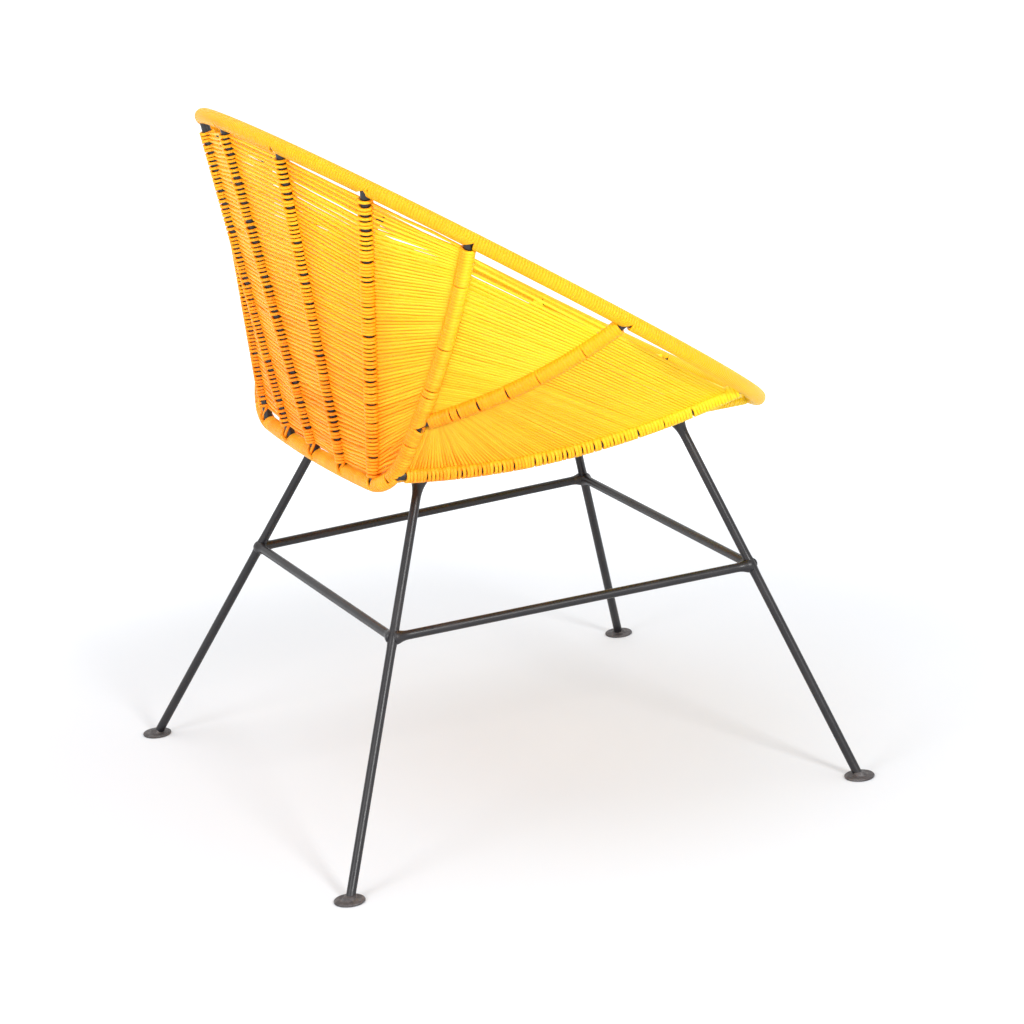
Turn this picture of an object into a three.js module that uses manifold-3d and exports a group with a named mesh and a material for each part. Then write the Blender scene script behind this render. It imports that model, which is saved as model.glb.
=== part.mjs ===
// Acapulco chair: a tilted round rim on bent steel ribs and four splayed legs, laced with plastic cord.
// Millimetres, +Z up. The chair faces -Y, and left and right are the sitter's, so left is +X.
import * as THREE from 'three';
import { mergeVertices } from 'three/addons/utils/BufferGeometryUtils.js';
import Module from 'manifold-3d';

const wasm = await Module();
wasm.setup();

// Stock: one size of round rod, one size of cord, and the play between touching pieces
const rodDiameter = 10;
const cordDiameter = 3.4;
const clearance = 0.3;

// Rim: a circle whose back is high and whose front is low
const rimRadius = 337;
const rimCentreY = -33;
const rimCentreHeight = 569;
const rimTilt = 34.6;

// Where the ribs meet the rim, in degrees from the middle of the back
const backRibAngle = 20.4;
const postAngle = 61.5;
const sideRibAngle = 93;
const seatRailAngle = 131;
const bearerAngle = 163;

// Rear rail: the bottom of the back, where the back ribs end
const rearRailY = 176.5;
const rearRailHeight = 385;
const rearRailCornerX = 197;
const rearRailCornerForward = 5;
const rearRailCornerRise = 4;
const cornerBend = 48;
const backRibSpacing = 79;

// Bows of the bent rods, measured at the middle of each
const postBowOut = 3.5;
const postBowForward = 9;
const sideRibBowOut = 4.5;
const sideRibBowForward = 3.5;
const sideRibBowDown = 10;
const seatRailBowIn = 7;
const seatRailBowDown = 23;

// Where the side rib and the seat rail meet the post, as shares of the way down it
const sideRibOnPostShare = 0.72;
const seatRailOnPostShare = 0.935;

// Legs: feet on the floor and tops under the bearers, the rear ones level with the rear rail
const rearFootX = 307;
const frontFootX = 303;
const footY = 299;
const rearLegTopX = 133;
const rearLegTopY = 111;
const frontLegTopX = 150;
const frontLegTopY = -179;
const frontLegTopRise = 15;
const stretcherHeight = 233;
const bearerRearX = 133;

// Weld flares, where a rod spreads on to its neighbour
const stretcherFlareRadius = 7.5;
const stretcherFlareLength = 14;
const legFlareRadius = 11.5;
const legFlareLength = 20;

// Glides: the worn steel discs under the legs
const glideRadius = 16.5;
const glideThickness = 3;
const glideChamfer = 0.8;

// Laced panels: shares of the sheet's own height and width
const rowShare = 0.72;
const postEdgeShare = 0.8;
const panelSideGap = 0.7;
const panelBorder = 6;
const panelEndGap = 13;
const panelForkGap = 34;
const ribDepth = 0.9;

// Counts
const rodSides = 8;
const holeSides = 5;
const rimSteps = 48;
const hoopSteps = 30;
const bentSteps = 6;
const bearerSteps = 8;
const glideSides = 16;
const backSlots = 9;
const wingSlots = 7;
const flankSlots = 8;
const seatSlots = 8;

const rodRadius = rodDiameter / 2;
const windingRadius = rodRadius + cordDiameter;

const steel = new THREE.MeshStandardMaterial({ color: 0x2b2a2c, roughness: 0.42, metalness: 0.6 });
const wornSteel = new THREE.MeshStandardMaterial({ color: 0x55504c, roughness: 0.6, metalness: 0.7 });
const yellowCord = new THREE.MeshStandardMaterial({ color: 0xf7b518, roughness: 0.3, metalness: 0 });

// Sides: the sitter's left is at +X
const sides = [['left', 1], ['right', -1]];

const vector = (x, y, z) => new THREE.Vector3(x, y, z);
const radians = THREE.MathUtils.degToRad;

// Rim

const rimAcross = vector(1, 0, 0);
const rimUpwards = vector(0, Math.cos(radians(rimTilt)), Math.sin(radians(rimTilt)));
const rimNormal = vector().crossVectors(rimAcross, rimUpwards);
const rimCentre = vector(0, rimCentreY, rimCentreHeight);

// Direction from the rim's centre, at an angle from the back towards the sitter's left
function rimDirection(angle) {
  return rimUpwards.clone().multiplyScalar(Math.cos(radians(angle)))
    .addScaledVector(rimAcross, Math.sin(radians(angle)));
}

function rimPoint(angle) {
  return rimCentre.clone().addScaledVector(rimDirection(angle), rimRadius);
}

// Curves

// A rod bent in one plane: straight from end to end, pushed out at its middle by the bow
function bowedCurve(start, end, bow) {
  const control = start.clone().add(end).multiplyScalar(1 / 2).addScaledVector(bow, 2);
  return new THREE.QuadraticBezierCurve3(start, control, end);
}

// A stretch of another curve, between two shares of its length
class Stretch extends THREE.Curve {
  constructor(whole, from, to) {
    super();
    Object.assign(this, { whole, from, to });
  }

  getPoint(share) {
    return this.whole.getPointAt(THREE.MathUtils.lerp(this.from, this.to, share));
  }
}

// The part of a curve that is left when a length is taken off each end
function shortened(curve, atStart, atEnd) {
  const length = curve.getLength();
  return new Stretch(curve, atStart / length, 1 - atEnd / length);
}

// Solids

function solidFrom(geometry) {
  const bare = geometry.index ? geometry.toNonIndexed() : geometry.clone();
  bare.deleteAttribute('normal');
  bare.deleteAttribute('uv');
  const merged = mergeVertices(bare);
  return new wasm.Manifold(new wasm.Mesh({
    numProp: 3,
    vertProperties: new Float32Array(merged.attributes.position.array),
    triVerts: new Uint32Array(merged.index.array),
  }));
}

function geometryFrom(solid) {
  const mesh = solid.getMesh();
  const geometry = new THREE.BufferGeometry();
  geometry.setAttribute('position', new THREE.BufferAttribute(mesh.vertProperties, 3));
  geometry.setIndex(new THREE.BufferAttribute(mesh.triVerts, 1));
  return geometry;
}

const joined = (solids) => solids.reduce((whole, solid) => whole.add(solid));

// What a cut leaves is one body: the crumbs at its edges are dropped
function cutBy(solid, cutters) {
  const rest = cutters.reduce((left, cutter) => left.subtract(cutter), solid);
  return rest.decompose().reduce((a, b) => (b.volume() > a.volume() ? b : a));
}

function circlePoints(radius, count = rodSides) {
  return Array.from({ length: count }, (unused, i) => {
    const angle = (i * 2 * Math.PI) / count;
    return new THREE.Vector2(radius * Math.cos(angle), radius * Math.sin(angle));
  });
}

// A round rod along a curve
function rod(curve, steps, radius = rodRadius, count = rodSides) {
  const section = new THREE.Shape(circlePoints(radius, count));
  return solidFrom(new THREE.ExtrudeGeometry(section, {
    steps, extrudePath: curve, bevelEnabled: false,
  }));
}

const clearanceRound = (curve, steps) => rod(curve, steps, rodRadius + clearance);

// A cone on the line from start to end, wide at its end
function flare(start, end, wideRadius, length) {
  const along = end.clone().sub(start).normalize();
  const cone = new THREE.CylinderGeometry(wideRadius, rodRadius, length, rodSides);
  cone.applyQuaternion(new THREE.Quaternion().setFromUnitVectors(vector(0, 1, 0), along));
  const middle = end.clone().addScaledVector(along, -length / 2);
  cone.translate(middle.x, middle.y, middle.z);
  return solidFrom(cone);
}

// The rim rod itself, and the same shape with room round it
function rimSolid(radius, steps = rimSteps) {
  const torus = new THREE.TorusGeometry(rimRadius, radius, rodSides, steps);
  torus.applyMatrix4(new THREE.Matrix4().makeBasis(rimAcross, rimUpwards, rimNormal));
  torus.translate(rimCentre.x, rimCentre.y, rimCentre.z);
  return solidFrom(torus);
}

// Cord wound on the whole rim, with groups of its turns drawn as ribs
function rimWinding() {
  const rings = [];
  for (let i = 0; i < 2 * rimSteps; i += 1) {
    const angle = (i * 180) / rimSteps;
    const radius = i % 2 ? windingRadius : windingRadius - ribDepth;
    rings.push(circlePoints(radius).map((corner) => rimPoint(angle)
      .addScaledVector(rimDirection(angle), corner.x).addScaledVector(rimNormal, corner.y)));
  }
  const index = [];
  rings.forEach((ring, r) => {
    const next = ((r + 1) % rings.length) * rodSides;
    ring.forEach((corner, c) => {
      const d = (c + 1) % rodSides;
      index.push(r * rodSides + c, r * rodSides + d, next + d, r * rodSides + c, next + d, next + c);
    });
  });
  const geometry = new THREE.BufferGeometry();
  const numbers = rings.flat().flatMap((point) => point.toArray());
  geometry.setAttribute('position', new THREE.Float32BufferAttribute(numbers, 3));
  geometry.setIndex(index);
  return solidFrom(geometry);
}

// Rows of cord laced between two rods, as one sheet with a slot between rows.
// Both curves run from the sheet's first row to its last.
function lacedPanel(first, second, slots) {
  const standOff = windingRadius + panelSideGap;
  const levels = [];
  for (let i = 0; i <= slots; i += 1) {
    levels.push(i / (slots + rowShare), (i + rowShare) / (slots + rowShare));
  }
  const rowEnds = (share) => {
    const [a, b] = [first.getPointAt(share), second.getPointAt(share)];
    const across = b.clone().sub(a).normalize();
    const offset = (curve) => standOff / across.clone().cross(curve.getTangentAt(share)).length();
    return {
      across,
      start: a.addScaledVector(across, offset(first)),
      end: b.addScaledVector(across, -offset(second)),
      down: first.getTangentAt(share).add(second.getTangentAt(share)),
    };
  };
  const numbers = [];
  levels.forEach((level) => {
    const { across, start, end, down } = rowEnds(level);
    const normal = across.clone().cross(down).normalize();
    const columns = [start, start.clone().addScaledVector(across, panelBorder),
      end.clone().addScaledVector(across, -panelBorder), end];
    columns.forEach((point) => {
      numbers.push(...point.clone().addScaledVector(normal, cordDiameter / 2).toArray());
      numbers.push(...point.clone().addScaledVector(normal, -cordDiameter / 2).toArray());
    });
  });
  const index = [];
  const corner = (level, column, back) => (level * 4 + column) * 2 + back;
  const quad = (a, b, c, d) => index.push(a, c, b, a, d, c);
  // A wall between two neighbouring corners of the sheet, facing the right of the way from a to b
  const wall = (a, b) => quad(corner(...a, 0), corner(...b, 0), corner(...b, 1), corner(...a, 1));
  const last = levels.length - 1;
  for (let level = 0; level < last; level += 1) {
    const isSlot = level % 2 === 1;
    for (let column = 0; column < 3; column += 1) {
      if (isSlot && column === 1) continue;
      const [a, b] = [[level, column], [level, column + 1]];
      const [c, d] = [[level + 1, column + 1], [level + 1, column]];
      quad(corner(...a, 0), corner(...d, 0), corner(...c, 0), corner(...b, 0));
      quad(corner(...a, 1), corner(...b, 1), corner(...c, 1), corner(...d, 1));
    }
    wall([level + 1, 0], [level, 0]);
    wall([level, 3], [level + 1, 3]);
    if (isSlot) {
      wall([level, 2], [level, 1]);
      wall([level, 1], [level + 1, 1]);
      wall([level + 1, 1], [level + 1, 2]);
      wall([level + 1, 2], [level, 2]);
    }
  }
  for (let column = 0; column < 3; column += 1) {
    wall([0, column], [0, column + 1]);
    wall([last, column + 1], [last, column]);
  }
  const geometry = new THREE.BufferGeometry();
  geometry.setAttribute('position', new THREE.Float32BufferAttribute(numbers, 3));
  geometry.setIndex(index);
  return solidFrom(geometry);
}

// Assembly. The chair stands on its glides, with its middle over the origin.

const rimReach = rimRadius * Math.cos(radians(rimTilt)) + windingRadius - rimCentreY;
const chair = new THREE.Group();
chair.position.y = (rimReach - footY - glideRadius) / 2;

function place(name, solid, material) {
  const mesh = new THREE.Mesh(geometryFrom(solid), material);
  mesh.name = name;
  chair.add(mesh);
}

// Routes of the rods, all from the rim towards the seat or from front to back

const cornerForward = rearRailY - rearRailCornerForward;
const cornerHeight = rearRailHeight + rearRailCornerRise;

function railPoint(x) {
  const share = (x / rearRailCornerX) ** 2;
  return vector(x, rearRailY - rearRailCornerForward * share, rearRailHeight + rearRailCornerRise * share);
}

const postRoutes = {};
const seatRailRoutes = {};
const sideRibRoutes = {};
const bearerRoutes = {};
const legRoutes = {};
for (const [side, sign] of sides) {
  const corner = vector(sign * rearRailCornerX, cornerForward, cornerHeight);
  const post = bowedCurve(rimPoint(sign * postAngle), corner, vector(sign * postBowOut, -postBowForward, 0));
  postRoutes[side] = post;
  sideRibRoutes[side] = bowedCurve(rimPoint(sign * sideRibAngle), post.getPointAt(sideRibOnPostShare),
    vector(sign * sideRibBowOut, -sideRibBowForward, -sideRibBowDown));
  seatRailRoutes[side] = bowedCurve(rimPoint(sign * seatRailAngle), post.getPointAt(seatRailOnPostShare),
    vector(sign * -seatRailBowIn, 0, -seatRailBowDown));
  const rearTop = vector(sign * rearLegTopX, rearLegTopY, rearRailHeight);
  const bearerFront = rimPoint(sign * bearerAngle);
  const frontTopHeight = (bearerFront.z + rearRailHeight) / 2 + frontLegTopRise;
  const frontTop = vector(sign * frontLegTopX, frontLegTopY, frontTopHeight);
  bearerRoutes[side] = new THREE.CatmullRomCurve3(
    [bearerFront, frontTop, rearTop, railPoint(sign * bearerRearX)], false, 'centripetal',
  );
  legRoutes[`rear_${side}`] = new THREE.LineCurve3(vector(sign * rearFootX, footY, 0), rearTop);
  legRoutes[`front_${side}`] = new THREE.LineCurve3(vector(sign * frontFootX, -footY, 0), frontTop);
}

// The back hoop runs down one post, round a bend, along the rear rail and up the other post
const hoopRoute = new THREE.CurvePath();
const postLength = postRoutes.left.getLength();
const bendShare = 1 - cornerBend / postLength;
const [bendStart, bendEnd] = [1, -1].map((sign) => railPoint(sign * (rearRailCornerX - cornerBend)));
hoopRoute.add(new Stretch(postRoutes.left, 0, bendShare));
hoopRoute.add(new THREE.QuadraticBezierCurve3(
  postRoutes.left.getPointAt(bendShare), postRoutes.left.getPointAt(1), bendStart,
));
const railBow = vector(0, rearRailY, rearRailHeight).multiplyScalar(2).sub(bendStart);
hoopRoute.add(new THREE.QuadraticBezierCurve3(bendStart, vector(0, railBow.y, railBow.z), bendEnd));
hoopRoute.add(new THREE.QuadraticBezierCurve3(
  bendEnd, postRoutes.right.getPointAt(1), postRoutes.right.getPointAt(bendShare),
));
hoopRoute.add(new Stretch(postRoutes.right, bendShare, 0));

const ribNumbers = [-2, -1, 0, 1, 2];
const ribRoutes = ribNumbers.map((n) => (
  new THREE.LineCurve3(rimPoint(n * backRibAngle), railPoint(n * backRibSpacing))));

// Frame

const rimClearance = rimSolid(rodRadius + clearance);
const hoopClearance = clearanceRound(hoopRoute, hoopSteps);
const rimWindingClearance = rimSolid(windingRadius + clearance, 2 * rimSteps);

place('rim_hoop', rimSolid(rodRadius), steel);
place('back_hoop', cutBy(rod(hoopRoute, hoopSteps), [rimClearance]), steel);
ribRoutes.forEach((route, i) => {
  place(`back_rib_${i + 1}`, cutBy(rod(route, 1), [rimClearance, hoopClearance]), steel);
});
const bentRods = [
  { name: 'side_rib', routes: sideRibRoutes, steps: bentSteps },
  { name: 'seat_rail', routes: seatRailRoutes, steps: bentSteps },
  { name: 'seat_bearer', routes: bearerRoutes, steps: bearerSteps },
];
for (const { name, routes, steps } of bentRods) {
  for (const [side, route] of Object.entries(routes)) {
    place(`${name}_${side}`, cutBy(rod(route, steps), [rimClearance, hoopClearance]), steel);
  }
}

// Legs stand on the glides and end under the bearers in a spread weld
const floorBlock = new THREE.BoxGeometry(4 * rearFootX, 4 * footY, 2 * footY);
floorBlock.translate(0, 0, glideThickness + clearance - footY);
const floorClearance = solidFrom(floorBlock);
const stretcherJoints = {};
const legTopClearances = { left: [], right: [] };
const legRooms = [];
const panelUnderside = cordDiameter / 2 + clearance;
for (const [corner, route] of Object.entries(legRoutes)) {
  const [foot, top] = [route.v1, route.v2];
  const side = corner.split('_')[1];
  const legSolid = (extra) => joined([
    rod(route, 1, rodRadius + extra), flare(foot, top, legFlareRadius + extra, legFlareLength)]);
  const topHeight = top.z - panelUnderside;
  const above = (height) => {
    const block = new THREE.BoxGeometry(4 * legFlareLength, 4 * legFlareLength, 2 * legFlareLength);
    return solidFrom(block.translate(top.x, top.y, height + legFlareLength));
  };
  const cutters = [clearanceRound(bearerRoutes[side], bearerSteps), floorClearance, above(topHeight)];
  place(`leg_${corner}`, cutBy(legSolid(0), cutters), steel);
  legRooms.push(cutBy(legSolid(clearance), [above(topHeight + clearance)]));
  stretcherJoints[corner] = foot.clone().lerp(top, stretcherHeight / top.z);
  const underBearer = new THREE.BoxGeometry(2 * legFlareRadius, 2 * legFlareRadius, 2 * legFlareRadius);
  underBearer.translate(top.x, top.y, topHeight + clearance - legFlareRadius);
  legTopClearances[side].push(solidFrom(underBearer));
}

// Stretchers run from leg to leg, and the side ones are mitred round the cross ones
const legClearances = Object.fromEntries(Object.entries(legRoutes).map(([corner, route]) => (
  [corner, clearanceRound(route, 1)])));

function stretcher(from, to, extra = 0) {
  const [start, end] = [stretcherJoints[from], stretcherJoints[to]];
  return joined([
    rod(new THREE.LineCurve3(start, end), 1, rodRadius + extra),
    flare(end, start, stretcherFlareRadius + extra, stretcherFlareLength),
    flare(start, end, stretcherFlareRadius + extra, stretcherFlareLength),
  ]);
}

const crossStretchers = { rear: ['rear_left', 'rear_right'], front: ['front_left', 'front_right'] };
for (const [name, [from, to]] of Object.entries(crossStretchers)) {
  place(`stretcher_${name}`, cutBy(stretcher(from, to), [legClearances[from], legClearances[to]]), steel);
}
const crossClearances = Object.values(crossStretchers).map((ends) => stretcher(...ends, clearance));
for (const [side] of sides) {
  const [from, to] = [`rear_${side}`, `front_${side}`];
  const cutters = [legClearances[from], legClearances[to], ...crossClearances];
  place(`stretcher_${side}`, cutBy(stretcher(from, to), cutters), steel);
}

// Glides: flat discs with a small chamfer, one under each leg
for (const [corner, route] of Object.entries(legRoutes)) {
  const profile = [[0, 0], [glideRadius - glideChamfer, 0], [glideRadius, glideChamfer],
    [glideRadius - glideChamfer, glideThickness], [0, glideThickness]];
  const disc = new THREE.LatheGeometry(profile.map(([r, z]) => new THREE.Vector2(r, z)), glideSides);
  disc.rotateX(Math.PI / 2);
  disc.translate(route.v1.x, route.v1.y, 0);
  place(`glide_${corner}`, solidFrom(disc), wornSteel);
}

// Cord wound on the rods. Every winding ends short of the winding that it runs into.
const windingRound = (route, steps) => rod(route, steps, windingRadius);
const hoopWindingClearance = rod(hoopRoute, hoopSteps, windingRadius + clearance);

const holeRadius = (rodRadius + clearance) / Math.cos(Math.PI / holeSides);
const joiningRods = [...ribRoutes.map((route) => rod(route, 1, holeRadius, holeSides)),
  ...bentRods.flatMap(({ routes, steps }) => (
    Object.values(routes).map((route) => rod(route, steps, holeRadius, holeSides))))];
place('rim_winding', cutBy(rimWinding(), [rimClearance, hoopClearance, ...joiningRods]), yellowCord);

// The rail's winding reaches to the bends, and each post's goes from there to the rim
const hoopWinding = cutBy(windingRound(hoopRoute, hoopSteps), [hoopClearance]);
function slab(halfWidth) {
  return solidFrom(new THREE.BoxGeometry(2 * halfWidth, 4 * rimRadius, 4 * rimCentreHeight));
}
const railHalfWidth = rearRailCornerX - cornerBend;
place('rear_rail_winding', cutBy(hoopWinding.intersect(slab(railHalfWidth)), joiningRods), yellowCord);
for (const [side, sign] of sides) {
  const otherSide = new THREE.BoxGeometry(4 * rimRadius, 4 * rimRadius, 4 * rimCentreHeight);
  otherSide.translate(sign * -2 * rimRadius, 0, 0);
  const beyond = [slab(railHalfWidth + clearance), solidFrom(otherSide), rimWindingClearance];
  place(`post_winding_${side}`, cutBy(hoopWinding, [...beyond, ...joiningRods]), yellowCord);
}

const windingEnds = [rimWindingClearance, hoopWindingClearance];
ribRoutes.forEach((route, i) => {
  const cutters = [clearanceRound(route, 1), ...windingEnds];
  place(`back_rib_winding_${i + 1}`, cutBy(windingRound(route, 1), cutters), yellowCord);
});
for (const [side] of sides) {
  for (const { name, routes, steps } of bentRods) {
    const legTops = name === 'seat_bearer' ? legTopClearances[side] : [];
    const cutters = [clearanceRound(routes[side], steps), ...windingEnds, ...legTops];
    place(`${name}_winding_${side}`, cutBy(windingRound(routes[side], steps), cutters), yellowCord);
  }
}

// Laced panels, each between two neighbouring rods and trimmed round the windings on them:
// first the back, from post to post
const postEdge = (side) => {
  const whole = new Stretch(hoopRoute, 0, (postLength - cornerBend * postEdgeShare) / hoopRoute.getLength());
  return side === 'left' ? whole : new Stretch(hoopRoute, 1, 1 - whole.to);
};
const backEdges = [postEdge('right'), ...ribRoutes, postEdge('left')];
backEdges.slice(1).forEach((edge, i) => {
  const [first, second] = [backEdges[i], edge].map((curve) => shortened(curve, panelEndGap, panelEndGap));
  const panel = lacedPanel(first, second, backSlots);
  place(`back_lacing_${i + 1}`, cutBy(panel, [hoopWindingClearance]), yellowCord);
});
const seatCutters = [...legRooms, ...Object.values(bearerRoutes).map((route) => (
  rod(route, bearerSteps, windingRadius + clearance)))];
for (const [side] of sides) {
  const upperPost = new Stretch(postRoutes[side], 0, sideRibOnPostShare);
  const [rib, rail, bearer] = [sideRibRoutes[side], seatRailRoutes[side], bearerRoutes[side]];
  const panels = {
    wing_lacing: [upperPost, rib, wingSlots],
    flank_lacing: [rib, rail, flankSlots],
    seat_lacing: [rail, bearer, seatSlots],
  };
  for (const [name, [first, second, slots]] of Object.entries(panels)) {
    const edges = [first, second].map((curve) => shortened(curve, panelEndGap, panelForkGap));
    place(`${name}_${side}`, cutBy(lacedPanel(...edges, slots), seatCutters), yellowCord);
  }
}
const [leftEdge, rightEdge] = sides.map(([side]) => shortened(bearerRoutes[side], panelEndGap, panelEndGap));
const middlePanel = lacedPanel(leftEdge, rightEdge, seatSlots);
place('seat_lacing_middle', cutBy(middlePanel, seatCutters), yellowCord);

export default chair;
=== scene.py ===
import bpy
import numpy as np
from mathutils import Matrix


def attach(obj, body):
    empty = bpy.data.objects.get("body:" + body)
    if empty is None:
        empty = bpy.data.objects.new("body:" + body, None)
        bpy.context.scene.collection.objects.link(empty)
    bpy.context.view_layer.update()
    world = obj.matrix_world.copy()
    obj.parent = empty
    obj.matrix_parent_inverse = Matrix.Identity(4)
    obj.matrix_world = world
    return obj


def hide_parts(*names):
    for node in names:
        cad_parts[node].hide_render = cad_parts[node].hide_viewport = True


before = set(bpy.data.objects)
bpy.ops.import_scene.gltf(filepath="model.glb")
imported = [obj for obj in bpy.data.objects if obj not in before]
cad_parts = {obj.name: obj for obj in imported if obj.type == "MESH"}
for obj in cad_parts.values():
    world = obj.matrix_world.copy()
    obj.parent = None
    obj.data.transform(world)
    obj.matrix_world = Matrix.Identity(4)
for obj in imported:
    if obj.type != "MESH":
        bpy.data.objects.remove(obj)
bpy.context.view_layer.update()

# Radii: of the rods, of the cord, of a turn's middle line, and of a rod with its cord
ROD = 0.005
CORD = 0.0017
TURN = ROD + CORD
WOUND = ROD + 2 * CORD
# The play between touching pieces
PLAY = 0.0003

# Rim: a circle whose back is high and whose front is low
RIM_RADIUS = 0.337
RIM_Y = -0.033
RIM_HEIGHT = 0.569
RIM_TILT = np.radians(34.6)

# Joints on the rim, in degrees from the middle of the back
RIB_ANGLE = 20.4
POST_ANGLE = 61.5
SIDE_RIB_ANGLE = 93
SEAT_RAIL_ANGLE = 131
BEARER_ANGLE = 163

# Rear rail: the bottom of the back, where the back ribs end
RAIL_Y = 0.1765
RAIL_HEIGHT = 0.385
CORNER_X = 0.197
CORNER_FORWARD = 0.005
CORNER_RISE = 0.004
CORNER_BEND = 0.048
RIB_SPACING = 0.079
RIB_ORDER = (-2, -1, 0, 1, 2)

# Bows of the bent rods, measured at their middle: outwards, backwards and upwards
POST_BOW = (0.0035, -0.009, 0)
SIDE_RIB_BOW = (0.0045, -0.0035, -0.010)
SEAT_RAIL_BOW = (-0.007, 0, -0.023)

# Joints on the posts, as shares of the way down
SIDE_RIB_SHARE = 0.72
SEAT_RAIL_SHARE = 0.935

# Legs: feet on the floor, tops under the bearers
FOOT_Y = 0.299
REAR_FOOT_X = 0.307
FRONT_FOOT_X = 0.303
REAR_TOP = (0.133, 0.111)
FRONT_TOP = (0.150, -0.179)
FRONT_TOP_RISE = 0.015
STRETCHER_HEIGHT = 0.233
BEARER_REAR_X = 0.133
GLIDE_RADIUS = 0.0165
GLIDE_THICKNESS = 0.003

# What moves the chair so that the middle of its box stands over the origin
SHIFT_Y = (RIM_RADIUS * np.cos(RIM_TILT) + WOUND - RIM_Y - FOOT_Y - GLIDE_RADIUS) / 2

SIDES = (("left", 1), ("right", -1))


def vec(*numbers):
    return np.array(numbers, float)


def dot(a, b):
    return np.sum(a * b, -1, keepdims=True)


def unit(a):
    return a / np.maximum(np.linalg.norm(a, axis=-1, keepdims=True), 1e-12)


# Routes of the rods

# The middle of the bucket, which the turns and rows take their outer and inner side from
BUCKET = vec(0, -0.04 + SHIFT_Y, 0.6)


class Route:
    """The middle line of a rod, as a close run of points."""

    def __init__(self, points):
        self.points = np.asarray(points, float)
        steps = np.linalg.norm(np.diff(self.points, axis=0), axis=1)
        self.reached = np.concatenate([[0.0], np.cumsum(steps)])
        self.length = float(self.reached[-1])

    def at(self, place):
        return np.stack([np.interp(place, self.reached, self.points[:, i]) for i in range(3)], -1)

    def along(self, place, step=0.0015):
        place = np.asarray(place, float)
        ahead = self.at(np.minimum(place + step, self.length))
        return unit(ahead - self.at(np.maximum(place - step, 0)))

    def outward(self, place):
        """The two directions across the rod: away from the bucket, and to the side of that."""
        along = self.along(place)
        away = self.at(place) - BUCKET
        out = unit(away - dot(away, along) * along)
        return out, np.cross(along, out)

    def share(self, start, end, count=300):
        """The stretch between two shares of the length."""
        return Route(self.at(np.linspace(start, end, count) * self.length))


class RimRoute(Route):
    """The rim's circle, which has no end."""

    def __init__(self):
        self.length = 2 * np.pi * RIM_RADIUS

    def at(self, place):
        return rim_point(np.asarray(place, float) / RIM_RADIUS)

    def along(self, place, step=0.0015):
        return unit(self.at(np.asarray(place, float) + step) - self.at(np.asarray(place, float) - step))


RIM_UP = vec(0, np.cos(RIM_TILT), np.sin(RIM_TILT))
RIM_CENTRE = vec(0, RIM_Y + SHIFT_Y, RIM_HEIGHT)


def rim_point(angle):
    angle = np.asarray(angle, float)[..., None]
    return RIM_CENTRE + RIM_RADIUS * (np.cos(angle) * RIM_UP + np.sin(angle) * vec(1, 0, 0))


def rail_point(x):
    share = (x / CORNER_X) ** 2
    return vec(x, RAIL_Y - CORNER_FORWARD * share + SHIFT_Y, RAIL_HEIGHT + CORNER_RISE * share)


def bent(start, control, end, count=400):
    t = np.linspace(0, 1, count)[:, None]
    return (1 - t) ** 2 * start + 2 * t * (1 - t) * control + t * t * end


def bowed(start, end, sign, bow):
    out, back, up = bow
    return Route(bent(start, (start + end) / 2 + 2 * vec(sign * out, back, up), end))


def swept(points, count=300):
    """A smooth curve through four points, with its knots spread as the solids have them."""
    points = [2 * points[0] - points[1], *points, 2 * points[-1] - points[-2]]
    pieces = []
    for p0, p1, p2, p3 in zip(points, points[1:], points[2:], points[3:]):
        a, b, c = (np.sqrt(np.linalg.norm(q - p)) for p, q in ((p0, p1), (p1, p2), (p2, p3)))
        start = ((p1 - p0) / a - (p2 - p0) / (a + b) + (p2 - p1) / b) * b
        end = ((p2 - p1) / b - (p3 - p1) / (b + c) + (p3 - p2) / c) * b
        t = np.linspace(0, 1, count)[:, None]
        cubic = 2 * p1 - 2 * p2 + start + end
        square = -3 * p1 + 3 * p2 - 2 * start - end
        pieces.append(p1 + start * t + square * t ** 2 + cubic * t ** 3)
    return Route(np.concatenate([pieces[0]] + [piece[1:] for piece in pieces[1:]]))


def straight(start, end, count=60):
    return Route(start + (end - start) * np.linspace(0, 1, count)[:, None])


def on_rim(degrees):
    return rim_point(np.radians(degrees))


rim = RimRoute()
posts, side_ribs, seat_rails, bearers, legs = {}, {}, {}, {}, {}
for side, sign in SIDES:
    corner = vec(sign * CORNER_X, RAIL_Y - CORNER_FORWARD + SHIFT_Y, RAIL_HEIGHT + CORNER_RISE)
    post = bowed(on_rim(sign * POST_ANGLE), corner, sign, POST_BOW)
    posts[side] = post
    side_ribs[side] = bowed(
        on_rim(sign * SIDE_RIB_ANGLE), post.at(SIDE_RIB_SHARE * post.length), sign, SIDE_RIB_BOW)
    seat_rails[side] = bowed(
        on_rim(sign * SEAT_RAIL_ANGLE), post.at(SEAT_RAIL_SHARE * post.length), sign, SEAT_RAIL_BOW)
    bearer_front = on_rim(sign * BEARER_ANGLE)
    rear_top = vec(sign * REAR_TOP[0], REAR_TOP[1] + SHIFT_Y, RAIL_HEIGHT)
    front_top = vec(sign * FRONT_TOP[0], FRONT_TOP[1] + SHIFT_Y,
                    (bearer_front[2] + RAIL_HEIGHT) / 2 + FRONT_TOP_RISE)
    bearers[side] = swept([bearer_front, front_top, rear_top, rail_point(sign * BEARER_REAR_X)])
    legs[f"rear_{side}"] = straight(vec(sign * REAR_FOOT_X, FOOT_Y + SHIFT_Y, 0), rear_top)
    legs[f"front_{side}"] = straight(vec(sign * FRONT_FOOT_X, -FOOT_Y + SHIFT_Y, 0), front_top)

ribs = [straight(on_rim(n * RIB_ANGLE), rail_point(n * RIB_SPACING)) for n in RIB_ORDER]

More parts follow.
